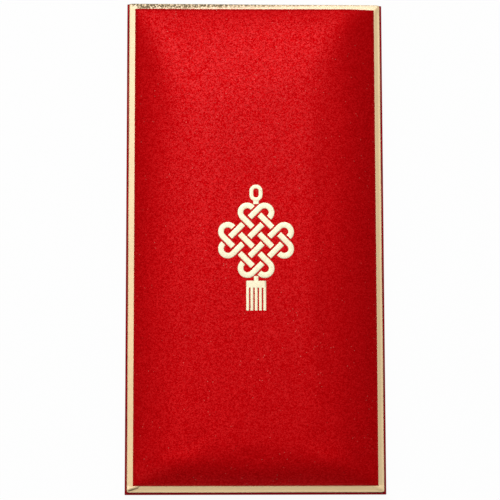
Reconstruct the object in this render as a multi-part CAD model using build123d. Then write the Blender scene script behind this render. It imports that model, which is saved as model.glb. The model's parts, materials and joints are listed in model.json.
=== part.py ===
from build123d import *
import math
import os

# A padded gift envelope with a pleated pocket, lying on its back with the padded face up.
# X runs across the width, +Y points to the mouth and the closing flap, +Z is the way the face looks.
# The origin is the middle of the underside. All sizes are in millimetres.

# Whole envelope
body_width = 98.0
body_length = 187.5

# Card of the panels, the spine and the flap, and of the pleats
sheet = 0.5
leaf_sheet = 0.4

# Pocket between the two panels, at rest
pocket_gap = 5.0
gusset_width = 8.0

# Room left at the folds
crease_clearance = 0.2
mouth_clearance = 0.3
mitre_clearance = 0.3
apex_clearance = 0.15
leaf_clearance = 0.15

# Closing flap on the back, and the gummed strip on its inner side
flap_length = 64.0
flap_side_inset = 1.0
flap_tip_width = 66.0
flap_corner_radius = 9.0
flap_clearance = 0.3
gum_thickness = 0.15
gum_width = 8.0
gum_length = 50.0
gum_tip_margin = 5.0

# Gold-bound board that carries the padding
board_thickness = 1.0
board_side_margin = 0.85
board_bottom_margin = 0.9
binding_thickness = 0.15
binding_lip = 6.0

# Padding: velour cover over foam over a thin card
pad_side_inset = 2.2
pad_top_inset = 2.1
pad_bottom_inset = 2.4
pad_card = 0.3
pad_cover = 0.4
pad_fit = 0.05
pad_edge_height = 1.0
pad_height = 7.2

# Crown of the padding: an even slope inside each edge, a rounding, and a bow across and along the top.
# The bow across stands over the bow along by a small lead, so the middle of the top bows along only.
pad_bow_across = 0.4
pad_bow_along = 0.9
pad_bow_lead = 0.1
side_slope = 9.0
side_rounding = 17.0
bottom_slope = 4.2
bottom_rounding = 7.0
top_slope = 3.0
top_rounding = 40.0

# Gold foil stamped on the cover: an interlaced knot with a hanging loop and a tassel
foil_thickness = 0.1
foil_spacing = 1.0
knot_strands = 4
knot_pitch = 5.2
knot_stroke = 2.2
knot_gap = 0.5
knot_end_clearance = 0.4
knot_centre_y = 0.6
bead_radius = 1.2
loop_length = 6.4
loop_width = 5.0
loop_stroke = 1.5
tassel_strands = 5
tassel_strand_width = 1.1
tassel_strand_gap = 0.5
tassel_length = 11.2
tassel_cap_height = 2.6

# Places worked out from the sizes
fold_radius = sheet / 2
half_width = body_width / 2
half_length = body_length / 2

flap_axis_z = fold_radius
back_axis_z = sheet + gum_thickness + flap_clearance + fold_radius
front_axis_z = back_axis_z + pocket_gap + sheet
middle_z = (front_axis_z + back_axis_z) / 2
board_z = front_axis_z + fold_radius
core_z = board_z + binding_thickness
pad_z = core_z + board_thickness + binding_thickness

side_axis_x = half_width - fold_radius
bottom_axis_y = -half_length + fold_radius
top_axis_y = half_length - fold_radius
mouth_y = top_axis_y - fold_radius - mouth_clearance

board_width = body_width - 2 * board_side_margin
board_low_y = -half_length + board_bottom_margin
board_high_y = half_length
board_length = board_high_y - board_low_y
board_centre_y = (board_low_y + board_high_y) / 2

pad_width = board_width - 2 * pad_side_inset
pad_length = board_length - pad_top_inset - pad_bottom_inset
pad_centre_y = board_centre_y + (pad_bottom_inset - pad_top_inset) / 2

flap_root_y = top_axis_y - fold_radius - crease_clearance
flap_tip_y = flap_root_y - flap_length

# The knot stands on a corner: its outer strand, its round link ends and the beads above and below it.
strand_reach = (knot_strands - 1) / 2 * knot_pitch
link_reach = strand_reach + knot_stroke / 2 + knot_gap + knot_end_clearance
link_end_y = (link_reach + knot_pitch) / math.sqrt(2) + (knot_pitch + knot_stroke) / 2
knot_corner_y = (strand_reach + knot_stroke / 2) * math.sqrt(2)
bead_y = knot_corner_y + foil_spacing + bead_radius

# A leaf lies just inside its panel and leans into the pocket until it meets its twin half way.
leaf_offset = fold_radius + leaf_clearance + leaf_sheet / 2
leaf_depth = leaf_offset + leaf_sheet / 2
leaf_rise = (front_axis_z - back_axis_z) / 2 - apex_clearance
leaf_angle = math.degrees(
    math.asin(leaf_rise / math.hypot(gusset_width, leaf_depth)) - math.atan2(leaf_depth, gusset_width)
)


def block(low, high):
    """A box between two corners."""
    size = [b - a for a, b in zip(low, high)]
    return Pos(*low) * Box(*size, align=(Align.MIN, Align.MIN, Align.MIN))


def plate(points, thickness, z):
    """A flat plate of a straight-sided outline, from z upwards."""
    return Pos(0, 0, z) * extrude(make_face(Polyline(*points, close=True)), thickness)


def folded_sheet(low_y, high_y, axis_z):
    """A panel of the full width whose four edges are round folds."""
    across = body_width - sheet
    along = high_y - low_y - sheet
    panel = Box(across, along, sheet)
    for side in (-1, 1):
        panel += Pos(side * across / 2, 0, 0) * Rot(90, 0, 0) * Cylinder(fold_radius, along)
        panel += Pos(0, side * along / 2, 0) * Rot(0, 90, 0) * Cylinder(fold_radius, across)
        for end in (-1, 1):
            panel += Pos(side * across / 2, end * along / 2, 0) * Sphere(fold_radius)
    return Pos(0, (low_y + high_y) / 2, axis_z) * panel


def front_panel():
    return folded_sheet(-half_length, half_length, front_axis_z)


def back_panel():
    return folded_sheet(-half_length, mouth_y, back_axis_z)


def gusset_leaf(outline, turn, axis_point):
    """A pleat leaf, drawn flat as (inward, along) from its fold, leaned into the pocket and placed."""
    leaf = plate(outline, leaf_sheet, -leaf_depth)
    return Pos(*axis_point) * Rot(0, 0, turn) * Rot(0, leaf_angle, 0) * leaf


def side_leaf():
    """The front leaf of the left pleat, mitred at the bottom corner and square at the mouth."""
    low = bottom_axis_y + mitre_clearance
    high = mouth_y
    outline = [(0, low), (gusset_width, low + gusset_width), (gusset_width, high), (0, high)]
    return gusset_leaf(outline, 0, (-side_axis_x, 0, front_axis_z))


def bottom_leaf():
    """The front leaf of the bottom pleat, mitred at both ends."""
    reach = side_axis_x - mitre_clearance
    inner = reach - gusset_width
    outline = [(0, -reach), (gusset_width, -inner), (gusset_width, inner), (0, reach)]
    return gusset_leaf(outline, 90, (0, bottom_axis_y, front_axis_z))


def gussets():
    """Six leaves: a front and a back one for the left, right and bottom pleats."""
    middle = Plane.XY.offset(middle_z)
    left = side_leaf()
    fronts = {"left": left, "right": mirror(left, about=Plane.YZ), "bottom": bottom_leaf()}
    leaves = {}
    for side, leaf in fronts.items():
        leaves[f"gusset_{side}_front"] = leaf
        leaves[f"gusset_{side}_back"] = mirror(leaf, about=middle)
    return leaves


def top_spine():
    """The strip that closes the mouth, from the front panel's top fold to the round fold of the flap."""
    high = front_axis_z - fold_radius - crease_clearance
    wall = block(
        (-half_width + flap_side_inset, top_axis_y - fold_radius, flap_axis_z),
        (half_width - flap_side_inset, top_axis_y + fold_radius, high),
    )
    fold = Rot(0, 90, 0) * Cylinder(fold_radius, body_width - 2 * flap_side_inset)
    return wall + Pos(0, top_axis_y, flap_axis_z) * fold


def closing_flap():
    """A tapered flap with rounded tip corners, flat against the back."""
    root = half_width - flap_side_inset
    tip = flap_tip_width / 2
    outline = Polyline(
        (-root, flap_root_y), (root, flap_root_y), (tip, flap_tip_y), (-tip, flap_tip_y), close=True
    )
    face = make_face(outline)
    corners = face.vertices().sort_by(Axis.Y)[:2]
    return extrude(fillet(corners, flap_corner_radius), sheet)


def gum_strip():
    low_y = flap_tip_y + gum_tip_margin
    return block(
        (-gum_length / 2, low_y, sheet), (gum_length / 2, low_y + gum_width, sheet + gum_thickness)
    )


def backing_board():
    half = board_width / 2 - binding_thickness
    return block(
        (-half, board_low_y + binding_thickness, core_z),
        (half, board_high_y - binding_thickness, core_z + board_thickness),
    )


def bindings():
    """Four gold strips, mitred at the corners, each wrapped round one edge of the board."""
    x, low, high, lip = board_width / 2, board_low_y, board_high_y, binding_lip
    outlines = {
        "top": [(-x, high), (x, high), (x - lip, high - lip), (-x + lip, high - lip)],
        "bottom": [(-x, low), (x, low), (x - lip, low + lip), (-x + lip, low + lip)],
        "left": [(-x, low), (-x + lip, low + lip), (-x + lip, high - lip), (-x, high)],
        "right": [(x, low), (x - lip, low + lip), (x - lip, high - lip), (x, high)],
    }
    core = backing_board()
    return {
        f"binding_{side}": plate(outline, pad_z - board_z, board_z) - core
        for side, outline in outlines.items()
    }


def crown_end(half, edge, rise, bow, slope, rounding):
    """Three points of the arched section, as (in from one end, up): edge, end of slope and shoulder."""
    steep = rise / (slope + rounding / 2)

    def bowed(d):
        return bow * (1 - (1 - d / half) ** 2)

    shoulder = slope + rounding
    slope_end = (slope, edge + steep * slope + bowed(slope))
    return [(0, edge), slope_end, (shoulder, edge + rise + bowed(shoulder))]


def crown_section(run, edge, top, bow, low_end, high_end):
    """The arched section of the padding, from its low end to its high end."""
    half = run / 2
    rise = top - edge - bow
    lines = Polyline((-half, edge), (-half, 0), (half, 0), (half, edge))
    shoulders = []
    for side, (slope, rounding) in ((-1, low_end), (1, high_end)):
        places = [(side * (half - d), z) for d, z in crown_end(half, edge, rise, bow, slope, rounding)]
        lean = math.atan2(2 * bow * (half - slope - rounding), half**2)
        away = (side * math.cos(lean), -math.sin(lean))
        lines += Line(places[0], places[1])
        lines += TangentArc(places[2], places[1], tangent=away)
        shoulders.append(places[2])
    lines += ThreePointArc(shoulders[0], (0, top), shoulders[1])
    return make_face(lines)


def crown(inset):
    """The padding's form, drawn in by an inset: arched across and along, and rounded down to its edges."""
    width = pad_width - 2 * inset
    length = pad_length - 2 * inset
    edge = pad_edge_height - inset
    top = pad_height - inset
    side = (side_slope, side_rounding)
    bottom, head = (bottom_slope, bottom_rounding), (top_slope, top_rounding)
    across = Plane.XZ * crown_section(width, edge, top + pad_bow_lead, pad_bow_across, side, side)
    along = Plane.YZ * crown_section(length, edge, top, pad_bow_along, bottom, head)
    form = extrude(across, length, both=True) & extrude(along, width, both=True)
    return Pos(0, pad_centre_y, pad_z) * form


def pad_card_sheet():
    half = pad_width / 2 - pad_cover - pad_fit
    reach = pad_length / 2 - pad_cover - pad_fit
    return block(
        (-half, pad_centre_y - reach, pad_z), (half, pad_centre_y + reach, pad_z + pad_card)
    )


def foam_pad():
    return crown(pad_cover + pad_fit) - pad_card_sheet()


def face_cover():
    return crown(0) - crown(pad_cover)


def strand_places():
    return [i * knot_pitch - strand_reach for i in range(knot_strands)]


def knot_links():
    """Long links of one direction, each joining two neighbouring strands."""
    places = strand_places()
    links = Sketch()
    for a, b in zip(places[::2], places[1::2]):
        outer = SlotCenterToCenter(2 * link_reach, knot_pitch + knot_stroke)
        inner = SlotCenterToCenter(2 * link_reach, knot_pitch - knot_stroke)
        links += Pos(0, (a + b) / 2) * (outer - inner)
    return links


def knot_sketch():
    """Links both ways, woven over and under: each strand stops short of the one that covers it."""
    places = strand_places()
    level = knot_links()
    upright = Rot(0, 0, 90) * knot_links()
    for i, x in enumerate(places):
        for j, y in enumerate(places):
            gap = Pos(x, y) * Rectangle(knot_stroke + 2 * knot_gap, knot_stroke + 2 * knot_gap)
            if (i + j) % 2:
                level -= gap
            else:
                upright -= gap
    return Rot(0, 0, 45) * (level + upright)


def loop_sketch():
    """A long ring above the knot, closed by a bead."""
    ring = SlotOverall(loop_length, loop_width)
    ring -= SlotOverall(loop_length - 2 * loop_stroke, loop_width - 2 * loop_stroke)
    return Pos(0, bead_y) * (Circle(bead_radius) + Pos(0, loop_length / 2) * Rot(0, 0, 90) * ring)


def tassel_sketch():
    """A bead, a cap and a row of strands below the knot."""
    pitch = tassel_strand_width + tassel_strand_gap
    cap_width = (tassel_strands - 1) * pitch + tassel_strand_width
    cap_y = -link_end_y - foil_spacing
    tassel = Pos(0, -bead_y) * Circle(bead_radius)
    tassel += Pos(0, cap_y - tassel_cap_height / 2) * Rectangle(cap_width, tassel_cap_height)
    tassel += Pos(0, (cap_y - bead_y) / 2) * Rectangle(bead_radius, bead_y + cap_y + bead_radius)
    for i in range(tassel_strands):
        x = (i - (tassel_strands - 1) / 2) * pitch
        tassel += Pos(x, cap_y - tassel_length / 2) * Rectangle(tassel_strand_width, tassel_length)
    return tassel


def foils():
    """The three stamped pieces: each outline carried up to the crown and one foil thickness thick."""
    skin = Pos(0, 0, foil_thickness) * crown(0) - crown(0)
    sketches = {"knot": knot_sketch(), "loop": loop_sketch(), "tassel": tassel_sketch()}
    centre = Pos(0, pad_centre_y + knot_centre_y, pad_z + pad_edge_height)
    return {
        f"{name}_foil": extrude(centre * sketch, pad_height) & skin
        for name, sketch in sketches.items()
    }


nodes = {
    "front_panel": front_panel(),
    "back_panel": back_panel(),
    "top_spine": top_spine(),
    "closing_flap": closing_flap(),
    "gum_strip": gum_strip(),
    "backing_board": backing_board(),
    "pad_card": pad_card_sheet(),
    "foam_pad": foam_pad(),
    "face_cover": face_cover(),
    **gussets(),
    **bindings(),
    **foils(),
}

os.makedirs("parts", exist_ok=True)
for name, shape in nodes.items():
    export_step(shape, f"parts/{name}.step")
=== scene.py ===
import json
import math

import bmesh
import bpy
import numpy as np
from bpy.props import FloatProperty, FloatVectorProperty, IntProperty, PointerProperty
from mathutils import Matrix, Vector


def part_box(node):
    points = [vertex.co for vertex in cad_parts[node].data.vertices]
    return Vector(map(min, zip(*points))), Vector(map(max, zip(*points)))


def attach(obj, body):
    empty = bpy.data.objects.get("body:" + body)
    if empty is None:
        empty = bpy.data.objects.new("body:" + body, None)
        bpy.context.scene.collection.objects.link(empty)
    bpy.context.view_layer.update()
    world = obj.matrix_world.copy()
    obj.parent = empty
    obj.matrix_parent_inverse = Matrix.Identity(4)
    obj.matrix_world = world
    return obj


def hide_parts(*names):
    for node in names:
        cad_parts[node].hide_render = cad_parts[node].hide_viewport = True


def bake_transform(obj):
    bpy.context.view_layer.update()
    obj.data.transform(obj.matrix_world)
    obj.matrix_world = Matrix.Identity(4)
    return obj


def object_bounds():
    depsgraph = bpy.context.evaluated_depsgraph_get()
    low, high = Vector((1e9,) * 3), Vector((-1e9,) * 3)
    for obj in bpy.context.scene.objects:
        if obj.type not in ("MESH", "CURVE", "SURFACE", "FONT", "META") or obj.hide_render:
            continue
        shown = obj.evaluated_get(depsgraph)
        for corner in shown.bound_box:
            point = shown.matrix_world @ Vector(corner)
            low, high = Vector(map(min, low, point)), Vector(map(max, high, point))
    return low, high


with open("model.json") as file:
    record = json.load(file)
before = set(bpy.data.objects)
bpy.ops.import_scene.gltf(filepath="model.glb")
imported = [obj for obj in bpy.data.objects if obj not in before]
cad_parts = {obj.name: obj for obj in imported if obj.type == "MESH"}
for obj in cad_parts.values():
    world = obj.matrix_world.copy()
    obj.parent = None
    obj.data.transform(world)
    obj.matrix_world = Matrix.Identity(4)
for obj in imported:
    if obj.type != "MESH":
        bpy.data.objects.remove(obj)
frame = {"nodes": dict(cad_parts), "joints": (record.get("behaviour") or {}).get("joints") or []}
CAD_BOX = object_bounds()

bl_info = {
    "name": "Padded Gift Envelope",
    "version": (1, 0, 0),
    "blender": (4, 5, 0),
    "location": "View3D > Sidebar > Envelope",
    "description": "Dresses the packed envelope: padded face, gold binding, card, pleats and stage",
    "category": "Object",
}

MM = 0.001
SEED = 11
X_WAY, Y_WAY, Z_WAY = Vector((1, 0, 0)), Vector((0, 1, 0)), Vector((0, 0, 1))
# Edges that turn by more than this stay sharp on the binding and the folds
SHARP_FROM = math.radians(40)
# A gap that keeps two faces apart and is too small to see
HAIR = 0.02 * MM


def box(node):
    """The lowest and the highest corner of a CAD node."""
    low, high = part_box(node)
    return Vector(low), Vector(high)


PAD_LOW, PAD_HIGH = box("face_cover")
STRIP_LOW, STRIP_HIGH = box("binding_left")
FLAP_LOW, FLAP_HIGH = box("closing_flap")
# The board with its gold binding, and the width of gold that shows at the sides and at the foot
BOARD_LOW = Vector((STRIP_LOW.x, box("binding_bottom")[0].y, STRIP_LOW.z))
BOARD_HIGH = Vector((box("binding_right")[1].x, box("binding_top")[1].y, STRIP_HIGH.z))
SIDE_GOLD, FOOT_GOLD = PAD_LOW.x - BOARD_LOW.x, PAD_LOW.y - BOARD_LOW.y


# Sizes and colours that a user may change


def length_setting(name, description, default):
    return FloatProperty(name=name, description=description, default=default, unit="LENGTH")


def lengths_setting(name, description, *default):
    return FloatVectorProperty(
        name=name, description=description, default=default, size=len(default), unit="LENGTH"
    )


def place_setting(name, description, *default):
    return FloatVectorProperty(
        name=name, description=description, default=default, subtype="TRANSLATION"
    )


def color_setting(name, description, *default):
    return FloatVectorProperty(name=name, description=description, default=default, subtype="COLOR")


def angle_setting(name, description, degrees):
    default = math.radians(degrees)
    return FloatProperty(name=name, description=description, default=default, subtype="ANGLE")


def power_setting(name, description, default):
    return FloatProperty(name=name, description=description, default=default, unit="POWER")


def share_setting(name, description, default):
    return FloatProperty(
        name=name, description=description, default=default, min=0.0, max=1.0, subtype="FACTOR"
    )


class PaddingSettings(bpy.types.PropertyGroup):
    velour_color: color_setting("Velour", "Colour of the velour face", 0.53, 0.0010, 0.0027)
    foam_color: color_setting("Foam", "Colour of the foam under the velour", 0.87, 0.84, 0.74)
    side_slope: lengths_setting(
        "Sides", "Even slope and rounding inside the left and right edges", 9 * MM, 17 * MM
    )
    bottom_slope: lengths_setting(
        "Bottom", "Even slope and rounding inside the bottom edge", 4.2 * MM, 7 * MM
    )
    top_slope: lengths_setting(
        "Top", "Even slope and rounding inside the top edge", 3 * MM, 40 * MM
    )
    top_right: lengths_setting(
        "Top right", "Even slope and rounding inside the top edge at its right end", 3 * MM, 14 * MM
    )
    top_blunt: lengths_setting(
        "Blunt top", "Height of the blunt top edge, at its left and right", 0.7 * MM, 2.7 * MM
    )
    bow_across: length_setting("Bow across", "Height of the bow from side to side", 0.4 * MM)
    bow_along: length_setting("Bow along", "Height of the bow from end to end", 0.9 * MM)
    hip: length_setting("Hips", "Softness of the ridges at the corners", 2.4 * MM)
    edge_round: length_setting("Turned edge", "Radius of the turned edge of the velour", 1.0 * MM)
    cloth: length_setting("Cloth", "Thickness of the velour", 0.35 * MM)
    mesh_step: length_setting("Mesh step", "Spacing of the cover's mesh", 1.6 * MM)
    swell_cap: length_setting("Swell", "Most that the cloth may move as it fills", 0.35 * MM)
    frames: IntProperty(name="Frames", description="Steps of the cloth simulation", default=12)


class FoilSettings(bpy.types.PropertyGroup):
    foil_color: color_setting("Foil", "Colour of the stamped foil", 0.84, 0.76, 0.53)
    thickness: length_setting("Thickness", "Height of the foil", 0.1 * MM)
    strands: IntProperty(name="Strands", description="Strands of the knot each way", default=4)
    pitch: length_setting("Pitch", "Distance of the strands", 5.2 * MM)
    stroke: length_setting("Stroke", "Width of a strand", 2.2 * MM)
    gap: length_setting("Gap", "Gap beside a covering strand", 0.5 * MM)
    end_gap: length_setting("End gap", "Room between the outer strand and the round ends", 0.4 * MM)
    loop_stroke: length_setting("Loop", "Width of the hanging loop's line", 1.5 * MM)
    bead: length_setting("Bead", "Radius of the bead under the loop", 1.2 * MM)
    tassel_neck: length_setting("Neck", "Width of the tassel's neck", 1.7 * MM)
    tassel_length: length_setting("Tassel", "Length of the tassel with its cap", 11.2 * MM)
    tassel_cap: length_setting("Cap", "Length of the tassel's cap", 2.6 * MM)
    threads: IntProperty(name="Threads", description="Threads of the tassel", default=5)
    thread: length_setting("Thread", "Width of a thread of the tassel", 1.1 * MM)
    thread_gap: length_setting("Thread gap", "Gap between two threads of the tassel", 0.5 * MM)


class BindingSettings(bpy.types.PropertyGroup):
    gold_color: color_setting("Gold", "Colour of the binding", 0.905, 0.682, 0.368)
    film: length_setting("Film", "Thickness of the binding film", 0.13 * MM)
    drop: length_setting(
        "Corner drop", "Fall of the strips to their outer edges at the corners", 0.15 * MM
    )
    lean: lengths_setting(
        "Lean", "Fall of the left, right, bottom and top strips to their outer edges",
        0.08 * MM, 0.44 * MM, 0.4 * MM, 0.1 * MM,
    )
    corner_run: length_setting(
        "Corner run", "Distance from a corner over which the lean sets in", 2.5 * MM
    )
    land: length_setting("Land", "Level band along the outer edge of the strips", 0.7 * MM)
    edge_round: length_setting("Edge", "Rounding of the outer edge", 0.3 * MM)
    corner_round: length_setting("Corner", "Rounding of the outer corners", 1.0 * MM)
    tuck: length_setting("Tuck", "Height of the folds at the lower corners", 0.3 * MM)
    waver: length_setting("Waver", "Unevenness of the wrapped edge", 0.04 * MM)


class CardSettings(bpy.types.PropertyGroup):
    card_color: color_setting("Card", "Colour of the red card", 0.24, 0.001, 0.004)
    pleat_color: color_setting("Pleats", "Colour of the thinner pleat card", 0.22, 0.001, 0.004)
    board_color: color_setting("Board", "Colour of the grey board", 0.33, 0.30, 0.25)
    gum_color: color_setting("Gum", "Colour of the strip on the flap", 0.82, 0.78, 0.66)
    sheet: length_setting("Sheet", "Thickness of the card", FLAP_HIGH.z - FLAP_LOW.z)
    ridge: length_setting("Ridge", "Radius of the inner fold of a pleat", 0.45 * MM)


class StageSettings(bpy.types.PropertyGroup):
    distance: length_setting("Distance", "Camera to face", 0.7466)
    azimuth: angle_setting("Azimuth", "Camera round the envelope", -16.556)
    elevation: angle_setting("Elevation", "Camera above the face", 82.528)
    roll: angle_setting("Roll", "Camera roll", -0.12)
    lens: FloatProperty(
        name="Lens", description="Focal length on a 36 mm sensor", default=141.75, unit="CAMERA"
    )
    aim: place_setting(
        "Aim", "Point that the camera looks at", -2.021 * MM, -1.603 * MM, 8.0 * MM
    )
    key_power: power_setting("Key", "Power of the large soft lamp", 18.9)
    key_place: place_setting("Key place", "Place of the large soft lamp", -0.15, 0.68, 1.5)
    key_size: lengths_setting("Key size", "Width and height of the large soft lamp", 0.95, 0.8)
    fill_power: power_setting("Fill", "Power of the weak fill lamp", 2.1)
    fill_place: place_setting("Fill place", "Place of the weak fill lamp", -0.8, -0.65, 0.85)
    fill_size: lengths_setting("Fill size", "Width and height of the weak fill lamp", 0.8, 0.8)
    world_level: share_setting("Surround", "Level of the surrounding light", 0.225)
    floor_color: color_setting("Floor", "Colour of the floor", 0.88, 0.88, 0.88)
    floor_white: share_setting("White floor", "Share of plain white in the floor", 0.95)


SETTINGS = {
    "envelope_padding": PaddingSettings,
    "envelope_foil": FoilSettings,
    "envelope_binding": BindingSettings,
    "envelope_card": CardSettings,
    "envelope_stage": StageSettings,
}


# Node materials

# Places of the colour sockets among the inputs and outputs of a mix node
MIX_A, MIX_B, MIX_RESULT = 6, 7, 2


def socket_name(key):
    """The shader's name for a socket, from a name in small letters."""
    return key.replace("_", " ").title().replace("Ior", "IOR")


def add_node(tree, kind, inputs, output, **values):
    """One output of a new node, whose inputs are set to values or linked to other outputs."""
    made = tree.nodes.new(kind)
    for key, value in values.items():
        setattr(made, key, value)
    for key, value in inputs.items():
        if isinstance(value, bpy.types.NodeSocket):
            tree.links.new(value, made.inputs[key])
        else:
            made.inputs[key].default_value = value
    return made.outputs[output]


def combine(tree, a, b, operation):
    """Two values put together, each a number or a socket."""
    return add_node(tree, "ShaderNodeMath", {0: a, 1: b}, "Value", operation=operation)


class Finish:
    """A node material under construction, with short names for the nodes it needs."""

    def __init__(self, name, color, **sockets):
        self.material = bpy.data.materials.new(name)
        self.material.use_nodes = True
        self.material.diffuse_color = (*color, 1.0)
        self.tree = self.material.node_tree
        self.shader = self.tree.nodes["Principled BSDF"]
        self.shader.inputs["Base Color"].default_value = (*color, 1.0)
        for key, value in sockets.items():
            self.shader.inputs[socket_name(key)].default_value = value
        self.place = self.add("ShaderNodeTexCoord", {}, "Object")

    def done(self, **sources):
        """The material, with the sources linked to the shader."""
        for key, source in sources.items():
            self.tree.links.new(source, self.shader.inputs[socket_name(key)])
        return self.material

    def add(self, kind, inputs, output, **values):
        return add_node(self.tree, kind, inputs, output, **values)

    def stretched(self, scale):
        """The place on the object, stretched by a scale along each axis."""
        return self.add("ShaderNodeMapping", {"Vector": self.place, "Scale": scale}, "Vector")

    def noise(self, scale, detail, rough, place=None):
        """Cloudy noise, with a scale in features to a metre."""
        inputs = {"Scale": scale, "Detail": detail, "Roughness": rough}
        return self.add("ShaderNodeTexNoise", {"Vector": place or self.place, **inputs}, "Fac")

    def cells(self, scale, output="Distance"):
        """Scattered cells, with a scale in cells to a metre."""
        return self.add("ShaderNodeTexVoronoi", {"Vector": self.place, "Scale": scale}, output)

    def spread(self, value, low, high, to_low, to_high):
        """A value carried from one range to another, held at its ends."""
        ends = {"From Min": low, "From Max": high, "To Min": to_low, "To Max": to_high}
        return self.add("ShaderNodeMapRange", {"Value": value, **ends}, "Result")

    def spread_noise(self, noise, to_low, to_high):
        """A noise carried to another range from the one that most of it lies in."""
        return self.spread(noise, 0.3, 0.7, to_low, to_high)

    def combine(self, a, b, operation="MULTIPLY"):
        return combine(self.tree, a, b, operation)

    def blend(self, factor, a, b):
        """A colour between a and b, each a colour or a socket."""
        a, b = (c if isinstance(c, bpy.types.NodeSocket) else (*c, 1.0) for c in (a, b))
        inputs = {"Factor": factor, MIX_A: a, MIX_B: b}
        return self.add("ShaderNodeMix", inputs, MIX_RESULT, data_type="RGBA")

    def bump(self, height, strength, distance, **after):
        """A bumped normal, on top of another one where it is given as Normal."""
        inputs = {"Height": height, "Strength": strength, "Distance": distance, **after}
        return self.add("ShaderNodeBump", inputs, "Normal")


def shade(color, *factors):
    """A colour made darker or lighter by one factor, or by one for each channel."""
    if len(factors) == 1:
        factors *= 3
    return tuple(min(1.0, c * factor) for c, factor in zip(color, factors))


def velour_finish(color):
    """Short dense pile: each tuft has its own tone and pearly lustre, and a few pale flecks are
    painted glints.
    """
    f = Finish(
        "velour", color, metallic=0.55, roughness=0.57, specular_ior_level=0.0, coat_roughness=0.38
    )
    catch = f.add("ShaderNodeSeparateColor", {"Color": f.cells(2800, "Color")}, "Red")
    grain = f.noise(1350, 2.0, 0.7)
    broad = f.noise(26, 3.0, 0.5)
    pile = f.blend(catch, shade(color, 0.79), shade(color, 1.21))
    laid = f.blend(f.spread(broad, 0.35, 0.65, 0, 0.22), pile, shade(color, 0.82))
    # A few sparse pale flecks painted into the base colour as glints of the pile
    painted_glint_spots = f.spread(f.cells(760), 0.06, 0.16, 1, 0)
    painted_glint_choice = f.spread(f.noise(230, 0.0, 0.5), 0.58, 0.68, 0, 0.2)
    painted_glint = (0.9, 0.62, 0.5)
    return f.done(
        base_color=f.blend(f.combine(painted_glint_spots, painted_glint_choice), laid, painted_glint),
        roughness=f.spread_noise(grain, 0.63, 0.51),
        normal=f.bump(grain, 0.3, 0.1 * MM),
        coat_weight=f.spread(catch, 0.35, 1.0, 0.0, 0.22),
    )


def foam_finish(color):
    """Open-celled foam."""
    f = Finish("padding foam", color, roughness=0.95)
    cells = f.cells(900)
    return f.done(
        base_color=f.blend(f.spread(cells, 0.0, 0.6, 0, 1), shade(color, 0.7), color),
        roughness=f.spread(cells, 0.0, 0.6, 1.0, 0.85),
        normal=f.bump(cells, 0.7, 0.3 * MM),
    )


def foil_finish(color):
    """Hot-stamped gold foil that takes a little of the pile's grain."""
    f = Finish("stamped foil", color, metallic=0.45, roughness=0.46)
    grain = f.noise(1000, 2.0, 0.6)
    wear = f.noise(170, 3.0, 0.6)
    return f.done(
        base_color=f.blend(f.spread(wear, 0.55, 0.75, 0, 0.5), color, shade(color, 0.82)),
        roughness=f.spread_noise(grain, 0.4, 0.54),
        normal=f.bump(grain, 0.2, 0.06 * MM),
    )


def gold_film(name, color, **coat):
    """Satin champagne film over board: the finish begun, its roughness and its fine bump."""
    f = Finish(name, color, metallic=0.35, roughness=0.62, **coat)
    fine = f.noise(1500, 3.0, 0.6)
    return f, f.spread_noise(fine, 0.56, 0.68), f.bump(fine, 0.16, 0.05 * MM)


def gold_finish(color):
    """The film on the sides and the bottom, which drifts a little in tone."""
    f, rough, bump = gold_film("gold binding", color, coat_weight=1.0, coat_roughness=0.35)
    drift = f.spread(f.noise(55, 3.0, 0.55), 0.35, 0.7, 0, 0.6)
    tone = f.blend(drift, color, shade(color, 0.9))
    return f.done(base_color=tone, roughness=rough, normal=bump)


def folded_gold_finish(color):
    """The film where it is folded over a corner, with painted shadow along the crease."""
    f, rough, bump = gold_film("gold binding folded", color, coat_weight=1.0, coat_roughness=0.35)
    # The crease attribute holds painted shadow, which darkens the film to brown along the fold
    crease = f.add("ShaderNodeAttribute", {}, "Fac", attribute_name="crease")
    tone = f.blend(crease, color, shade(color, 0.2, 0.13, 0.1))
    return f.done(base_color=tone, roughness=rough, normal=bump)


def puckered_gold_finish(color):
    """The film on the top edge, puckered on its outer side in a band that narrows to the right,
    with painted shade in the dents.
    """
    f, rough, bump = gold_film("gold binding puckered", color, coat_roughness=0.22)
    pucker = f.noise(1500, 2.0, 0.6)
    x, y = (f.add("ShaderNodeSeparateXYZ", {"Vector": f.place}, axis) for axis in "XY")
    narrowing = f.spread(x, BOARD_LOW.x, 0.6 * BOARD_HIGH.x, 2.0 * MM, -0.3 * MM)
    start = f.spread(x, BOARD_LOW.x, BOARD_LOW.x + 5 * MM, 0.3 * MM, 2.0 * MM)
    width = f.combine(narrowing, start, "MINIMUM")
    depth = f.combine(BOARD_HIGH.y, y, "SUBTRACT")
    band = f.spread(f.combine(width, depth, "SUBTRACT"), -1.1 * MM, 0.3 * MM, 0, 1)
    # Dents in the band: bumped, and darkened nearly to brown as painted shade, with their coat
    # taken off
    dents_and_painted_shade = f.combine(f.spread(pucker, 0.4, 0.58, 0.25, 1.0), band)
    return f.done(
        base_color=f.blend(dents_and_painted_shade, color, shade(color, 0.18, 0.175, 0.165)),
        roughness=rough,
        normal=f.bump(dents_and_painted_shade, 0.6, 0.15 * MM, Normal=bump),
        coat_weight=f.spread(dents_and_painted_shade, 0.2, 0.6, 1.0, 0.0),
    )


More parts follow.
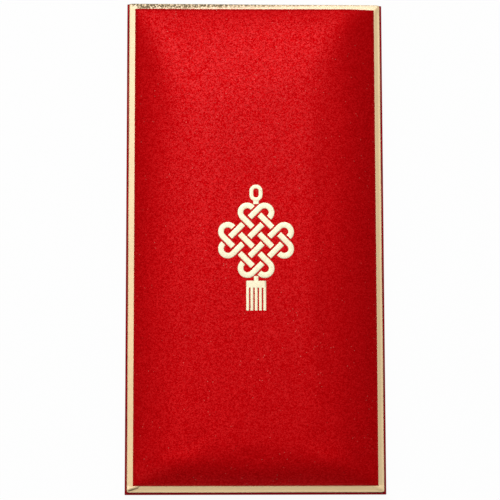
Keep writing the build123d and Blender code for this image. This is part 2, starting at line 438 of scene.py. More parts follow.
def card_finish(color, name="red card", fibre=1.0):
    """Dyed card with a faint pearl, fine fibres and slight rubbing."""
    f = Finish(name, color, metallic=0.3, roughness=0.55, specular_ior_level=0.06)
    threads = f.noise(420 * fibre, 4.0, 0.65, f.stretched((1.0, 0.28, 1.0)))
    cloud = f.noise(24, 3.0, 0.55)
    rub = f.noise(150, 4.0, 0.7)
    tone = f.blend(f.spread_noise(threads, 0, 1), shade(color, 0.84), shade(color, 1.14))
    tone = f.blend(f.spread(cloud, 0.35, 0.7, 0, 0.3), tone, shade(color, 0.8))
    return f.done(
        base_color=f.blend(f.spread(rub, 0.66, 0.8, 0, 0.18), tone, shade(color, 1.8)),
        roughness=f.spread_noise(threads, 0.58, 0.42),
        normal=f.bump(threads, 0.22, 0.06 * MM),
    )


def pleat_finish(color):
    """The thinner card of the pleats, with finer fibres."""
    return card_finish(color, "pleat card", 1.6)


def board_finish(color):
    """Grey board of pressed waste paper, flecked."""
    f = Finish("grey board", color, roughness=0.9)
    pulp = f.noise(500, 4.0, 0.7)
    fleck = f.spread(f.cells(700), 0.05, 0.2, 1, 0)
    tone = f.blend(f.spread_noise(pulp, 0, 1), shade(color, 0.8), shade(color, 1.2))
    return f.done(
        base_color=f.blend(f.combine(fleck, 0.4), tone, shade(color, 0.35)),
        roughness=f.spread_noise(pulp, 0.96, 0.8),
        normal=f.bump(pulp, 0.4, 0.1 * MM),
    )


def gum_finish(color):
    """Dried gum under a waxed strip, slightly uneven."""
    f = Finish("gum strip", color, roughness=0.35, coat_weight=0.2, coat_roughness=0.25)
    streak = f.noise(160, 3.0, 0.6, f.stretched((0.25, 1.0, 1.0)))
    return f.done(
        base_color=f.blend(f.spread(streak, 0.35, 0.7, 0, 1), color, shade(color, 0.88)),
        roughness=f.spread_noise(streak, 0.28, 0.5),
        normal=f.bump(streak, 0.3, 0.05 * MM),
    )


# Each finish: how it is made, and the group and the setting that hold its colour
FINISHES = {
    "velour": (velour_finish, "envelope_padding", "velour_color"),
    "foam": (foam_finish, "envelope_padding", "foam_color"),
    "foil": (foil_finish, "envelope_foil", "foil_color"),
    "gold": (gold_finish, "envelope_binding", "gold_color"),
    "gold_fold": (folded_gold_finish, "envelope_binding", "gold_color"),
    "gold_top": (puckered_gold_finish, "envelope_binding", "gold_color"),
    "card": (card_finish, "envelope_card", "card_color"),
    "pleat": (pleat_finish, "envelope_card", "pleat_color"),
    "board": (board_finish, "envelope_card", "board_color"),
    "gum": (gum_finish, "envelope_card", "gum_color"),
}
MADE = {}


def finish(name):
    """The named finish, made once."""
    if name not in MADE:
        maker, group, color = FINISHES[name]
        MADE[name] = maker(tuple(getattr(getattr(bpy.context.scene, group), color)))
    return MADE[name]


# Meshes and pieces


def mesh_from(name, points, faces):
    mesh = bpy.data.meshes.new(name)
    mesh.from_pydata([tuple(p) for p in points], [], [tuple(f) for f in faces])
    mesh.validate()
    mesh.update()
    return mesh


def grid_faces(columns, rows, first=0):
    """Quads of a grid whose points run along the columns first."""
    starts = [first + j * columns + i for j in range(rows - 1) for i in range(columns - 1)]
    return [(a, a + 1, a + columns + 1, a + columns) for a in starts]


def even_normals(mesh, upward=False):
    """The mesh with its faces turned outward, or upward for an open sheet, and no large face."""
    bm = bmesh.new()
    bm.from_mesh(mesh)
    bmesh.ops.triangulate(bm, faces=[f for f in bm.faces if len(f.verts) > 4])
    bmesh.ops.recalc_face_normals(bm, faces=bm.faces)
    if upward and sum(f.normal.z for f in bm.faces) < 0:
        bmesh.ops.reverse_faces(bm, faces=bm.faces)
    bm.to_mesh(mesh)
    bm.free()
    return mesh


def add_object(name, mesh, material, smooth=True):
    made = bpy.data.objects.new(name, mesh)
    bpy.context.scene.collection.objects.link(made)
    mesh.materials.append(material)
    for face in mesh.polygons:
        face.use_smooth = smooth
    return made


def seat(piece, body, node=None):
    """Rides a piece on its body, in the place of a CAD node where one is named."""
    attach(piece, body)
    if node:
        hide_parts(node)


def paint_node(name, material):
    """Gives a finish to a CAD node that stays."""
    node = frame["nodes"][name]
    if not node.material_slots:
        node.data.materials.append(material)
    for slot in node.material_slots:
        slot.material = material


def between(a, b, share):
    """A value a share of the way from a to b."""
    return a + (b - a) * share


# Padding

# Rows of the mesh inside a turned edge, and where the even rows begin, in edge radii
TURN_STEPS = (0.0, 0.05, 0.2, 0.45, 0.8, 1.3, 2.0)
TURN_END = 2.8
# Rows that are glued down at the rim
RIM_ROWS = len(TURN_STEPS) - 1
# Distance from the right end over which the top edge changes, and its rounding in edge radii
TOP_RUN, BLUNT_ROUND = 80 * MM, 0.8
# How far the foam is drawn in at its sides and lowered, in thicknesses of the velour
FOAM_INSET, FOAM_ROOM = 1.6, 0.2
# How the velour behaves as it fills
CLOTH = {
    "quality": 6,
    "mass": 0.2,
    "tension_stiffness": 60,
    "compression_stiffness": 60,
    "shear_stiffness": 30,
    "bending_stiffness": 2.0,
    "use_pressure": True,
    "uniform_pressure_force": 4.0,
}


def edge_steps(low, high, step, edge):
    """Places from low to high, fine at the turned edges and even between."""
    turn = np.array(TURN_STEPS) * edge
    count = max(8, int((high - low) / step))
    inner = np.linspace(low + TURN_END * edge, high - TURN_END * edge, count)
    return np.concatenate([low + turn, inner, (high - turn)[::-1]])


def slope_height(d, rise, runs):
    """Height at a distance in from the edge: an even slope that rounds over to level."""
    even, rounding = runs
    steep = rise / (even + rounding / 2)
    along = np.clip(d - even, 0, rounding)
    return steep * (np.clip(d, 0, even) + along - along**2 / (2 * rounding))


def soft_min(a, b, width):
    """The lower of two heights, rounded where they cross."""
    near = np.maximum(width - np.abs(a - b), 0) / width
    return np.minimum(a, b) - near**2 * width / 4


def quarter_round(d, radius):
    """A share that rises from 0 to 1 as a quarter of a circle."""
    return np.sqrt(np.clip(1 - (1 - np.clip(d / radius, 0, 1)) ** 2, 0, 1))


def head_height(x, head, rise, padding):
    """Height inside the top edge, which is blunter to the right and levels out sooner there."""
    t = np.clip(1 - (PAD_HIGH.x - x) / TOP_RUN, 0, 1)
    share = t * t * (3 - 2 * t)
    runs = [between(a, b, share) for a, b in zip(padding.top_slope, padding.top_right)]
    blunt = between(*padding.top_blunt, share)
    rounded = blunt * quarter_round(head, BLUNT_ROUND * padding.edge_round)
    return rounded + slope_height(head, rise - blunt, runs)


def cover_height(x, y, padding, inset):
    """Height of the padded face over the board, at places x and y."""
    low_x, high_x = PAD_LOW.x + inset, PAD_HIGH.x - inset
    low_y, high_y = PAD_LOW.y + inset, PAD_HIGH.y - inset
    half_x, half_y = (high_x - low_x) / 2, (high_y - low_y) / 2
    side = np.minimum(x - low_x, high_x - x)
    foot, head = y - low_y, high_y - y
    edge = padding.edge_round
    rise = PAD_HIGH.z - PAD_LOW.z - edge
    across = padding.bow_across * (1 - ((x - low_x) / half_x - 1) ** 2)
    along = padding.bow_along * (1 - ((y - low_y) / half_y - 1) ** 2)
    sides = slope_height(side, rise - padding.bow_across, padding.side_slope) + across
    ends = np.minimum(
        slope_height(foot, rise - padding.bow_along, padding.bottom_slope),
        head_height(x, head, rise - padding.bow_along, padding),
    )
    body = soft_min(sides, ends + along, padding.hip)
    turned = quarter_round(np.minimum(side, np.minimum(foot, head)), edge) * edge
    return np.maximum(body, 0) + turned - inset


def cover_mesh(name, padding, inset=0.0):
    """An open crowned sheet over the board, and the numbers of the points near its rim."""
    edge = padding.edge_round
    xs = edge_steps(PAD_LOW.x + inset, PAD_HIGH.x - inset, padding.mesh_step, edge)
    ys = edge_steps(PAD_LOW.y + inset, PAD_HIGH.y - inset, padding.mesh_step, edge)
    gx, gy = np.meshgrid(xs, ys)
    gz = PAD_LOW.z + cover_height(gx, gy, padding, inset)
    points = np.stack([gx, gy, gz], -1).reshape(-1, 3)
    columns, rows = len(xs), len(ys)
    rim = [
        j * columns + i
        for j in range(rows)
        for i in range(columns)
        if min(i, columns - 1 - i, j, rows - 1 - j) < RIM_ROWS
    ]
    return mesh_from(name, points, grid_faces(columns, rows)), rim


def points_of(mesh):
    """The points of a mesh, one in a row."""
    flat = np.empty(len(mesh.vertices) * 3)
    mesh.vertices.foreach_get("co", flat)
    return flat.reshape(-1, 3)


def settle_cloth(sheet, rim, padding):
    """Fills the sheet from below as a cloth held at its rim, and keeps the form it takes."""
    scene = bpy.context.scene
    start = points_of(sheet.data)
    held = sheet.vertex_groups.new(name="glued rim")
    held.add(rim, 1.0, "REPLACE")
    cloth = sheet.modifiers.new("Cloth", "CLOTH")
    for key, value in CLOTH.items():
        setattr(cloth.settings, key, value)
    cloth.settings.effector_weights.gravity = 0
    cloth.settings.vertex_group_mass = held.name
    cloth.collision_settings.use_collision = False
    for number in range(1, padding.frames + 1):
        scene.frame_set(number)
    shown = sheet.evaluated_get(bpy.context.evaluated_depsgraph_get())
    shift = points_of(shown.data) - start
    size = np.linalg.norm(shift, axis=1, keepdims=True)
    cap = padding.swell_cap
    shift *= cap * np.tanh(size / cap) / np.maximum(size, 1e-9)
    sheet.modifiers.remove(cloth)
    sheet.vertex_groups.clear()
    sheet.data.vertices.foreach_set("co", (start + shift).reshape(-1))
    sheet.data.update()
    scene.frame_set(1)


class ENVELOPE_OT_cover(bpy.types.Operator):
    """Makes the padded velour face and the foam under it"""

    bl_idname = "envelope.cover"
    bl_label = "Padded face"

    def execute(self, context):
        padding = context.scene.envelope_padding
        mesh, rim = cover_mesh("velour_face", padding)
        cover = add_object("velour_face", mesh, finish("velour"))
        settle_cloth(cover, rim, padding)
        cloth = cover.modifiers.new("Cloth thickness", "SOLIDIFY")
        cloth.thickness = padding.cloth
        cloth.offset = -1
        seat(cover, "front", "face_cover")
        self.foam(padding)
        return {"FINISHED"}

    def foam(self, padding):
        """The foam: the same crown, drawn in by the cloth, closed flat on its card."""
        mesh, _ = cover_mesh("foam_layer", padding, FOAM_INSET * padding.cloth)
        floor = box("foam_pad")[0].z
        bm = bmesh.new()
        bm.from_mesh(mesh)
        for vert in bm.verts:
            vert.co.z = max(vert.co.z - FOAM_ROOM * padding.cloth, floor)
        bmesh.ops.edgeloop_fill(bm, edges=[e for e in bm.edges if e.is_boundary])
        bmesh.ops.recalc_face_normals(bm, faces=bm.faces)
        bm.to_mesh(mesh)
        bm.free()
        foam = add_object("foam_layer", mesh, finish("foam"))
        seat(foam, "front", "foam_pad")


# Stamped foil

# Section of a ribbon: places across it in half widths, each with its share of the thickness
RIBBON = ((-1.0, 0.0), (-0.96, 0.8), (-0.8, 1.0), (0.0, 1.0), (0.8, 1.0), (0.96, 0.8), (1.0, 0.0))
# Spacing of the places along the knot and along its loop
KNOT_STEP, LOOP_STEP = 0.25 * MM, 0.2 * MM
# Shares of the thickness that keep lapped ribbons of foil apart
LAPPED, THREAD_LAPPED = 0.9, 0.95


def resting_height(places):
    """Heights of the finished velour under places given as x and y."""
    shown = bpy.data.objects["velour_face"].evaluated_get(bpy.context.evaluated_depsgraph_get())
    well_above = 0.1
    heights = []
    for x, y in places:
        hit, point, _, _ = shown.ray_cast(Vector((x, y, well_above)), -Z_WAY)
        if not hit:
            raise RuntimeError("a piece of foil lies outside the velour")
        heights.append(point.z)
    return heights


def lay_ribbon(line, width, thickness):
    """Points and faces of a foil ribbon along a line of places, pressed onto the velour."""
    ahead = np.gradient(line, axis=0)
    ahead /= np.linalg.norm(ahead, axis=1, keepdims=True)
    across = np.stack([-ahead[:, 1], ahead[:, 0]], -1)
    points = []
    for lane, lift in RIBBON:
        places = line + across * lane * width / 2
        for (x, y), z in zip(places, resting_height(places)):
            points.append((x, y, z + thickness * lift))
    return points, grid_faces(len(line), len(RIBBON))


def merge_ribbons(name, ribbons):
    """One mesh of several ribbons."""
    points, faces = [], []
    for some_points, some_faces in ribbons:
        first = len(points)
        points += some_points
        faces += [tuple(first + i for i in face) for face in some_faces]
    return even_normals(mesh_from(name, points, faces), upward=True)


def upright(x, bottom, top, count):
    """Places on an upright line."""
    return np.stack([np.full(count, x), np.linspace(bottom, top, count)], -1)


def arc_places(centre, radius, start, end, step):
    """Places on an arc, a step apart."""
    count = max(4, int(abs(end - start) * radius / step))
    angles = np.linspace(start, end, count)
    return np.stack([centre[0] + radius * np.cos(angles), centre[1] + radius * np.sin(angles)], -1)


def link_line(reach, offset, radius, step):
    """The closed middle line of one long link: two strands and two round ends."""
    count = int(2 * reach / step)
    runs = np.linspace(-reach, reach, count)
    low = np.stack([runs, np.full(count, offset - radius)], -1)
    high = np.stack([runs[::-1], np.full(count, offset + radius)], -1)
    right = arc_places((reach, offset), radius, -math.pi / 2, math.pi / 2, step)[1:-1]
    left = arc_places((-reach, offset), radius, math.pi / 2, 1.5 * math.pi, step)[1:-1]
    return np.concatenate([low, right, high, left])


def shown_runs(line, covered):
    """The uncovered stretches of a closed line that is covered somewhere."""
    first = int(np.argmax(covered))
    line, covered = np.roll(line, -first, axis=0), np.roll(covered, -first)
    stretches = [part[1:] for part in np.split(line, np.flatnonzero(covered))]
    return [stretch for stretch in stretches if len(stretch) > 2]


def turn_places(line, angle, centre):
    """Places turned by an angle and set round a centre."""
    c, s = math.cos(angle), math.sin(angle)
    x, y = line[:, 0], line[:, 1]
    return np.stack([centre.x + x * c - y * s, centre.y + x * s + y * c], -1)


class ENVELOPE_OT_foil(bpy.types.Operator):
    """Stamps the gold knot, its hanging loop and its tassel on the velour"""

    bl_idname = "envelope.foil"
    bl_label = "Stamped foil"

    def execute(self, context):
        foil = context.scene.envelope_foil
        self.keep("knot_foil", "knot", self.knot(foil))
        self.keep("loop_foil", "loop", self.loop(foil))
        self.keep("tassel_foil", "tassel", self.tassel(foil))
        return {"FINISHED"}

    def keep(self, node, name, ribbons):
        mesh = merge_ribbons(name, ribbons)
        stamp = add_object(node.replace("foil", "stamp"), mesh, finish("foil"))
        seat(stamp, "front", node)

    def knot(self, foil):
        """Links both ways, standing on a corner, each cut where it runs under another."""
        low, high = box("knot_foil")
        pitch, under = foil.pitch, foil.stroke / 2 + foil.gap
        places = [(i - (foil.strands - 1) / 2) * pitch for i in range(foil.strands)]
        reach = places[-1] + under + foil.end_gap
        ribbons = []
        for angle in (math.radians(45), math.radians(135)):
            for offset in (-pitch, pitch):
                line = link_line(reach, offset, pitch / 2, KNOT_STEP)
                covered = np.zeros(len(line), bool)
                for i, x in enumerate(places):
                    for j, y in enumerate(places):
                        if (i + j) % 2:
                            near = np.abs(line - np.array((x, y)))
                            covered |= (near[:, 0] < under) & (near[:, 1] < pitch / 4)
                for run in shown_runs(line, covered):
                    places_on_pad = turn_places(run, angle, (low + high) / 2)
                    ribbons.append(lay_ribbon(places_on_pad, foil.stroke, foil.thickness))
        return ribbons

    def loop(self, foil):
        """A long ring closed by a bead, in the place of the CAD loop."""
        low, high = box("loop_foil")
        middle, half = (low.x + high.x) / 2, (high.x - low.x) / 2
        radius, bead = half - foil.loop_stroke / 2, foil.bead
        bead_inset = 0.15 * MM
        upper = arc_places((middle, high.y - half), radius, 0, math.pi, LOOP_STEP)
        lower = arc_places((middle, low.y + bead + half), radius, math.pi, 2 * math.pi, LOOP_STEP)
        ring = np.concatenate([upper, lower, upper[:2]])
        dot = upright(middle, low.y + bead_inset, low.y + 2 * bead - bead_inset, 9)
        return [
            lay_ribbon(ring, foil.loop_stroke, foil.thickness),
            lay_ribbon(dot, 1.8 * bead, LAPPED * foil.thickness),
        ]

    def tassel(self, foil):
        """A neck, a cap and a row of threads."""
        low, high = box("tassel_foil")
        middle = (low.x + high.x) / 2
        cap_high = low.y + foil.tassel_length
        cap_low = cap_high - foil.tassel_cap
        neck_lap, thread_lap, count = 0.3 * MM, 0.2 * MM, 24
        cap = upright(middle, cap_low, cap_high, count)
        neck = upright(middle, cap_high - neck_lap, high.y, count)
        ribbons = [
            lay_ribbon(cap, high.x - low.x, foil.thickness),
            lay_ribbon(neck, foil.tassel_neck, LAPPED * foil.thickness),
        ]
        for i in range(foil.threads):
            x = low.x + foil.thread / 2 + i * (foil.thread + foil.thread_gap)
            thread = upright(x, low.y, cap_low + thread_lap, count)
            ribbons.append(lay_ribbon(thread, foil.thread, THREAD_LAPPED * foil.thickness))
        return ribbons


# Gold binding

# Places along a strip from its corner, and then an even step from the end of that run
CORNER_STEPS = (0.0, 0.12, 0.25, 0.4, 0.6, 0.85, 1.2, 1.7, 2.4)
CORNER_END, STRIP_STEP = 3.4 * MM, 1.4 * MM
# Share of a corner's radius that its rounding cuts off
CORNER_CUT = 0.29
# Lengths of the waves along a wrapped edge, inward and up, and how far in from the edge they reach
DRIFT_WAVE, SWELL_WAVE, WAVER_REACH = 9 * MM, 6 * MM, 1.5 * MM
# Rows of the folded film at a lower corner: depth in from its crease in mm, and share of its height
TUCK_ROWS = (
    (-0.22, 0.0), (0.0, 0.0), (0.12, 0.3), (0.3, 0.8), (0.5, 1.0),
    (0.75, 0.95), (1.1, 0.7), (1.6, 0.3), (2.2, 0.0),
)
# How strongly the film is folded at each lower corner, and how dark its painted crease shadow is
TUCK_SHARES = {"left": 1.0, "right": 0.2}


def fall(u, visible, land):
    """Share of a strip's lean at a distance in: all of it on the level band, none at the velour."""
    return min(1.0, max(0.0, (visible - u) / (visible - land)))


def binding_section(binding):
    """Outer and then inner line of a binding strip, as (inward, up) from its lower outer corner."""
    edge, film, land, drop = binding.edge_round, binding.film, binding.land, binding.drop
    height, lip = STRIP_HIGH.z - STRIP_LOW.z, STRIP_HIGH.x - STRIP_LOW.x
    under, shoulder = 0.35 * edge, height - drop - edge
    outer = [(lip, 0.0), (1.4 * SIDE_GOLD, 0.0), (0.6 * edge, 0.0)]
    low_turn, turn = np.linspace(0.3, 1.5, 4), np.linspace(0, math.pi / 2, 7)
    outer += [(under * (1 - math.sin(a)), under * (1 - math.cos(a))) for a in low_turn]
    outer += [(edge * (1 - math.cos(a)), shoulder + edge * math.sin(a)) for a in turn]
    slope = np.linspace(land, SIDE_GOLD, 5)[:-1]
    outer += [(u, height - drop * fall(u, SIDE_GOLD, land)) for u in slope]
    outer += [(u, height - HAIR) for u in (SIDE_GOLD, 1.25 * SIDE_GOLD, lip)]
    inner = [(lip, height - film), (SIDE_GOLD, height - film)]
    inner += [(land, height - film - drop), (edge, height - film - drop)]
    inner += [(film, shoulder), (film, edge), (edge, film), (lip, film)]
    return outer + inner


def strip_stations(length):
    """Places along a strip, from 0 to 1, close together at its two corners."""
    near = np.array(CORNER_STEPS) * MM
    middle = np.linspace(CORNER_END, length - CORNER_END, int(length / STRIP_STEP))
    return np.concatenate([near, middle, (length - near)[::-1]]) / length


def wave(s, length, phases):
    """A wave along a strip, with weaker and longer ones added."""
    return sum(math.sin(s / (k * length) + phase) / k for k, phase in enumerate(phases, 1))


def binding_mesh(name, corner, along, inward, length, lean, binding, seed):
    """A strip swept along one edge, mitred, leaning outward, with its outer corners rounded."""
    section, spots = binding_section(binding), strip_stations(length)
    phases = np.random.default_rng(seed).uniform(0, 2 * math.pi, 6)
    points = []
    for t in spots:
        s = t * length
        to_end = min(s, length - s)
        drift, swell = wave(s, DRIFT_WAVE, phases[:3]), wave(s, SWELL_WAVE, phases[3:])
        fade = min(1.0, to_end / binding.corner_run)
        cut = CORNER_CUT * binding.corner_round * max(0.0, 1 - to_end / binding.corner_round) ** 2
        for u, v in section:
            u += cut * max(0.0, 1 - u / SIDE_GOLD)
            lift = inset = 0.0
            if v > binding.edge_round:
                rise = (binding.drop - lean) * fall(u, SIDE_GOLD, binding.land)
                lift = fade * (0.25 * binding.waver * swell + rise)
                inset = fade * 0.5 * binding.waver * drift * max(0.0, 1 - u / WAVER_REACH)
            place = along * (u + t * (length - 2 * u)) + inward * (u + inset)
            points.append(corner + place + Z_WAY * (v + lift))
    count, last = len(section), len(spots) - 1
    ring = [(i, (i + 1) % count) for i in range(count)]
    faces = [
        (first + i, first + k, first + count + k, first + count + i)
        for first in range(0, last * count, count)
        for i, k in ring
    ]
    faces += [range(count), reversed(range(last * count, (last + 1) * count))]
    return even_normals(mesh_from(name, points, faces))


def tuck_mesh(name, corner, inward, binding, share):
    """A fold of film over a lower corner, which lies on both strips and falls to a crease, with
    painted shadow along it.
    """
    # The crease runs from the outer corner, along the foot, to the edge of the velour
    start = Vector((0.12 * MM, 0.45 * MM))
    end = Vector((SIDE_GOLD + 4.2 * MM, FOOT_GOLD - 0.1 * MM))
    above_strips = 0.015 * MM
    height = BOARD_HIGH.z - BOARD_LOW.z + above_strips
    outer_band, full_room = 0.3 * MM, 0.9 * MM
    # Widths of the painted shadow along the crease and of its fainter haze, and the haze's strength
    shadow_width, shadow_haze_width, shadow_haze = 0.3 * MM, 1.2 * MM, 0.25
    steps = np.linspace(0, 1, 15)
    points, crease_shadows = [], []
    for depth, rise in TUCK_ROWS:
        depth *= MM
        # Painted shadow: dark right at the crease, with a fainter haze further in
        painted_crease_shadow = math.exp(-((depth / shadow_width) ** 2))
        painted_crease_shadow += shadow_haze * math.exp(-((depth / shadow_haze_width) ** 2))
        for t in steps:
            a, crease = start.lerp(end, t)
            room = max(HAIR, FOOT_GOLD - crease)
            b = crease + min(depth, 1.1 * room)
            lean_share = min(1.0, max(0.0, a - SIDE_GOLD) / binding.corner_run)
            lean = between(binding.drop, binding.lean[2], lean_share)
            if a > SIDE_GOLD:
                lean *= fall(b, FOOT_GOLD, binding.land)
            else:
                lean *= max(0.0, 1 - min(b / FOOT_GOLD, max(a, outer_band) / SIDE_GOLD))
            swell = math.sin(math.pi * min(1.0, 0.25 + t)) ** 0.7 if t < 0.75 else 0.0
            raised = share * binding.tuck * rise * swell * min(1.0, room / full_room)
            points.append(corner + inward * a + Vector((0, b, height - lean + raised)))
            crease_shadows.append(share * min(1.0, painted_crease_shadow) * (1 - t) ** 0.3 * min(1.0, 8 * t))
    mesh = mesh_from(name, points, grid_faces(len(steps), len(TUCK_ROWS)))
    # The crease attribute carries this painted shadow to the folded gold finish
    mesh.attributes.new("crease", "FLOAT", "POINT").data.foreach_set("value", crease_shadows)
    return even_normals(mesh, upward=True)


def board_mesh(name, binding):
    """The stiff board inside the binding, its upper edges pressed down where the strips lean."""
    low, high = box("backing_board")
    left, right, bottom, top = (max(lean, binding.drop) + HAIR for lean in binding.lean)
    land = binding.land
    xs = [(low.x, left), (low.x + land, left), (low.x + SIDE_GOLD, 0.0)]
    xs += [(high.x - SIDE_GOLD, 0.0), (high.x - land, right), (high.x, right)]
    ys = [(low.y, bottom), (low.y + land, bottom), (low.y + FOOT_GOLD, 0.0)]
    ys += [(high.y - FOOT_GOLD, 0.0), (high.y - land, top), (high.y, top)]
    upper = [(x, y, high.z - max(fall_x, fall_y)) for y, fall_y in ys for x, fall_x in xs]
    lower = [(x, y, low.z) for x, y, _ in upper]
    count, below = len(xs), len(upper)
    faces = grid_faces(count, count)
    faces += [reversed(face) for face in grid_faces(count, count, below)]
    rim = list(range(count)) + [row * count + count - 1 for row in range(1, count)]
    rim += [below - 1 - i for i in range(1, count)]
    rim += [row * count for row in range(count - 2, 0, -1)]
    faces += [(b, a, a + below, b + below) for a, b in zip(rim, rim[1:] + rim[:1])]
    return mesh_from(name, upper + lower, faces)


class ENVELOPE_OT_bindings(bpy.types.Operator):
    """Makes the board and wraps the gold binding round its four edges"""

    bl_idname = "envelope.bindings"
    bl_label = "Gold binding"

    def execute(self, context):
        binding = context.scene.envelope_binding
        left, right, bottom, top = binding.lean
        low, high = BOARD_LOW, BOARD_HIGH
        wide, tall = high.x - low.x, high.y - low.y
        low_right, high_left = Vector((high.x, low.y, low.z)), Vector((low.x, high.y, low.z))
        edges = {
            "bottom": (low, X_WAY, Y_WAY, wide, bottom),
            "top": (high_left, X_WAY, -Y_WAY, wide, top),
            "left": (low, Y_WAY, X_WAY, tall, left),
            "right": (low_right, Y_WAY, -X_WAY, tall, right),
        }
        for number, (side, edge) in enumerate(edges.items()):
            name = f"gold_strip_{side}"
            mesh = binding_mesh(name, *edge, binding, SEED + number)
            strip = add_object(name, mesh, finish("gold_top" if side == "top" else "gold"))
            mesh.set_sharp_from_angle(angle=SHARP_FROM)
            seat(strip, "front", f"binding_{side}")
        mesh = board_mesh("board_core", binding)
        board = add_object("board_core", mesh, finish("board"), smooth=False)
        seat(board, "front", "backing_board")
        for side, share in TUCK_SHARES.items():
            name = f"gold_tuck_{side}"
            corner, _, inward, *_ = edges[side]
            mesh = tuck_mesh(name, corner, inward, binding, share)
            seat(add_object(name, mesh, finish("gold_fold")), "front")
        return {"FINISHED"}


# Card and pleats


class ENVELOPE_OT_card(bpy.types.Operator):
    """Finishes the card panels, the spine, the flap, the card under the pad and the gum strip"""

    bl_idname = "envelope.card"
    bl_label = "Card and board"

    def execute(self, context):
        for node in ("front_panel", "back_panel", "top_spine", "closing_flap"):
            paint_node(node, finish("card"))
        paint_node("pad_card", finish("board"))
        paint_node("gum_strip", finish("gum"))
        return {"FINISHED"}


class ENVELOPE_OT_pleats(bpy.types.Operator):
    """Finishes the six leaves of the pleats"""

    bl_idname = "envelope.pleats"
    bl_label = "Pleats"

    def execute(self, context):
        for side in ("left", "right", "bottom"):
            for half in ("front", "back"):
                paint_node(f"gusset_{side}_{half}", finish("pleat"))
        return {"FINISHED"}


# Folds

# Half the thickness of a fold in sheets, just under the card's own, and the depth of its rows in mm
FOLD_HALF, FOLD_DEPTHS = 0.49, np.linspace(0, 0.5, 7)
# Section of the sheet turned round a panel's edge in mm: depth, outer side, inner side
LEAF_ROWS = (
    (0.0, -0.245, 0.2), (0.2, -0.245, 0.2), (0.4, -0.235, 0.2),
    (0.55, -0.22, 0.1), (0.75, -0.18, 0.0),
)
# How far short of the leaves' inner ends the middle of a pleat's ridge lies
RIDGE_BACK = 0.1 * MM


def joint_place(joint):
    """The place of a fold, from the joint that turns there."""
    return Vector(next(j["pos_m"] for j in frame["joints"] if j["name"] == joint))


def fold_mesh(name, axis, along, reach, down, across, rows):
    """A strip along a fold; each row of its section is (depth, one side, other side)."""
    points = [
        axis + along * place + down * depth + across * side
        for place in reach
        for depth, *sides in rows
        for side in sides
    ]
    count = 2 * len(rows)
    loop = list(range(0, count, 2)) + list(range(count - 1, 0, -2))
    faces = [(a, b, count + b, count + a) for a, b in zip(loop, loop[1:] + loop[:1])]
    starts = [first + k for first in (0, count) for k in range(0, count - 2, 2)]
    faces += [(a, a + 1, a + 3, a + 2) for a in starts]
    return even_normals(mesh_from(name, points, faces))


class ENVELOPE_OT_folds(bpy.types.Operator):
    """Turns the card round its folds: at the spine, at the flap and along each pleat"""

    bl_idname = "envelope.folds"
    bl_label = "Folds"

    def execute(self, context):
        card = context.scene.envelope_card
        half = FOLD_HALF * card.sheet
        rows = [(depth * MM, -half, half) for depth in FOLD_DEPTHS]
        low, high = box("top_spine")
        line = (X_WAY, (low.x, high.x))
        look = ("card", "red_card")
        self.fold("fold_spine", "spine_fold", ("front", "spine"), line, -Z_WAY, Y_WAY, rows, look)
        self.fold("fold_flap", "flap_fold", ("spine", "flap"), line, -Y_WAY, Z_WAY, rows, look)
        for side, across in {"left": X_WAY, "right": -X_WAY, "bottom": Y_WAY}.items():
            along = X_WAY if side == "bottom" else Y_WAY
            for half_name, down in (("front", -Z_WAY), ("back", Z_WAY)):
                self.leaf_fold(side, half_name, along, down, across)
            self.ridge(side, along, across, card.ridge)
        return {"FINISHED"}

    def fold(self, name, joint, bodies, line, down, across, rows, look):
        """A bend of card at its joint, fixed in place; it does not follow the bodies."""
        axis = joint_place(joint)
        finish_name, slot = look
        mesh = fold_mesh(name, axis, *line, down, across, rows)
        piece = add_object(name, mesh, finish(finish_name))
        piece.data.set_sharp_from_angle(angle=SHARP_FROM)
        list(bodies)
        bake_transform(piece)

    def leaf_fold(self, side, half_name, along, down, across):
        """The sheet turned round the edge of a panel, down to the outer end of its leaf."""
        leaf = f"gusset_{side}_{half_name}"
        rows = [tuple(value * MM for value in row) for row in LEAF_ROWS]
        low, high = box(leaf)
        line = (along, (low.dot(along), high.dot(along)))
        name, bodies, look = f"fold_{side}_{half_name}", (half_name, leaf), ("pleat", "pleat_card")
        self.fold(name, f"{leaf}_fold", bodies, line, down, across, rows, look)

    def ridge(self, side, along, across, radius):
        """The inner fold of a pleat, a round bead where its two leaves meet."""
        name, front, back = f"pleat_ridge_{side}", f"gusset_{side}_front", f"gusset_{side}_back"
        low, high = box(front)
        outer = joint_place(f"{front}_fold")
        tip = max(abs((corner - outer).dot(across)) for corner in (low, high))
        centre = outer + across * (tip - RIDGE_BACK)
        centre.z = (outer.z + joint_place(f"{back}_fold").z) / 2
        centre -= along * centre.dot(along)
        angles = np.linspace(0, math.pi, 7)[1:-1]
        rows = [(radius * math.cos(a), -radius * math.sin(a), radius * math.sin(a)) for a in angles]
        mitre = abs((high - low).dot(across)) + 2 * radius
        reach = (low.dot(along) + mitre, high.dot(along) - (mitre if side == "bottom" else 0))
        mesh = fold_mesh(name, centre, along, reach, -Z_WAY, across, rows)
        seat(add_object(name, mesh, finish("pleat")), front)


# Stage

FLOOR_REACH = 6.0
# How far the floor lies under the envelope
FLOOR_GAP = 0.05 * MM
SENSOR_WIDTH = 36
CLIP_END = 50
# What the lamps point at
LAMP_TARGET = Vector((0, 0, 8 * MM))


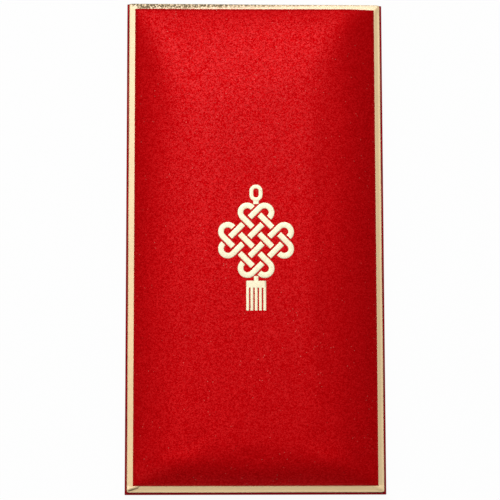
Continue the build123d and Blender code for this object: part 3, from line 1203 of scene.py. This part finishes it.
def floor_material(color, white):
    """White where the camera or a reflection sees it, with the lamps' own light and shadow kept."""
    made = bpy.data.materials.new("pale floor")
    made.use_nodes = True
    tree = made.node_tree
    tree.nodes.clear()
    output = tree.nodes.new("ShaderNodeOutputMaterial")
    rays = tree.nodes.new("ShaderNodeLightPath").outputs
    share = rays["Is Camera Ray"]
    for ray in ("Is Glossy Ray", "Is Transmission Ray"):
        share = combine(tree, share, rays[ray], "MAXIMUM")
    share = combine(tree, share, white, "MULTIPLY")
    diffuse = add_node(tree, "ShaderNodeBsdfDiffuse", {"Color": (*color, 1.0)}, "BSDF")
    plain_white = {"Color": (1, 1, 1, 1), "Strength": 1.0}
    glow = add_node(tree, "ShaderNodeEmission", plain_white, "Emission")
    mix = add_node(tree, "ShaderNodeMixShader", {"Fac": share, 1: diffuse, 2: glow}, "Shader")
    tree.links.new(mix, output.inputs["Surface"])
    return made


def add_lamp(name, place, size, power):
    """A flat lamp at a place, turned to the envelope."""
    lamp = bpy.data.lights.new(name, "AREA")
    lamp.shape = "RECTANGLE"
    lamp.size, lamp.size_y = size
    lamp.energy = power
    made = bpy.data.objects.new(name, lamp)
    way = (Vector(place) - LAMP_TARGET).to_track_quat("Z", "Y")
    made.matrix_world = Matrix.Translation(place) @ way.to_matrix().to_4x4()
    bpy.context.scene.collection.objects.link(made)


class ENVELOPE_OT_stage(bpy.types.Operator):
    """Sets the floor, the lamps and the camera"""

    bl_idname = "envelope.stage"
    bl_label = "Stage"

    def execute(self, context):
        stage = context.scene.envelope_stage
        context.scene.view_settings.view_transform = "Standard"
        self.floor(stage)
        self.lamps(context, stage)
        self.camera(context, stage)
        return {"FINISHED"}

    def floor(self, stage):
        r = FLOOR_REACH
        mesh = mesh_from("floor", [(-r, -r, 0), (r, -r, 0), (r, r, 0), (-r, r, 0)], [(0, 1, 2, 3)])
        material = floor_material(tuple(stage.floor_color), stage.floor_white)
        floor = add_object("floor", mesh, material)
        floor.location.z = CAD_BOX[0][2] - FLOOR_GAP

    def lamps(self, context, stage):
        add_lamp("key lamp", stage.key_place, stage.key_size, stage.key_power)
        add_lamp("fill lamp", stage.fill_place, stage.fill_size, stage.fill_power)
        world = bpy.data.worlds.new("soft surround")
        world.use_nodes = True
        background = world.node_tree.nodes["Background"]
        background.inputs["Color"].default_value = (1, 1, 1, 1)
        background.inputs["Strength"].default_value = stage.world_level
        context.scene.world = world

    def camera(self, context, stage):
        data = bpy.data.cameras.new("camera")
        data.sensor_width = SENSOR_WIDTH
        data.lens = stage.lens
        data.clip_end = CLIP_END
        az, el = stage.azimuth, stage.elevation
        back = Vector((math.sin(az) * math.cos(el), -math.cos(az) * math.cos(el), math.sin(el)))
        right = Y_WAY.cross(back).normalized()
        up = back.cross(right)
        c, s = math.cos(stage.roll), math.sin(stage.roll)
        right, up = right * c + up * s, up * c - right * s
        turn = Matrix((right, up, back)).transposed().to_4x4()
        camera = bpy.data.objects.new("camera", data)
        camera.matrix_world = Matrix.Translation(Vector(stage.aim) + back * stage.distance) @ turn
        context.scene.collection.objects.link(camera)
        context.scene.camera = camera


# Panel and registration


class ENVELOPE_PT_panel(bpy.types.Panel):
    """Lists the pieces of the envelope"""

    bl_idname = "ENVELOPE_PT_panel"
    bl_label = "Envelope"
    bl_space_type = "VIEW_3D"
    bl_region_type = "UI"
    bl_category = "Envelope"

    def draw(self, context):
        for operator in OPERATORS:
            self.layout.operator(operator.bl_idname)
        for name, group in SETTINGS.items():
            column = self.layout.column()
            column.label(text=group.__name__.replace("Settings", ""))
            for key in group.__annotations__:
                column.prop(getattr(context.scene, name), key)


OPERATORS = (
    ENVELOPE_OT_stage,
    ENVELOPE_OT_cover,
    ENVELOPE_OT_foil,
    ENVELOPE_OT_bindings,
    ENVELOPE_OT_card,
    ENVELOPE_OT_pleats,
    ENVELOPE_OT_folds,
)
CLASSES = (*SETTINGS.values(), *OPERATORS, ENVELOPE_PT_panel)


def register():
    for cls in CLASSES:
        bpy.utils.register_class(cls)
    for name, group in SETTINGS.items():
        setattr(bpy.types.Scene, name, PointerProperty(type=group))


def unregister():
    for name in SETTINGS:
        delattr(bpy.types.Scene, name)
    for cls in reversed(CLASSES):
        bpy.utils.unregister_class(cls)


def main():
    register()
    for operator in OPERATORS:
        space, name = operator.bl_idname.split(".")
        getattr(getattr(bpy.ops, space), name)()


if __name__ == "__main__":
    main()
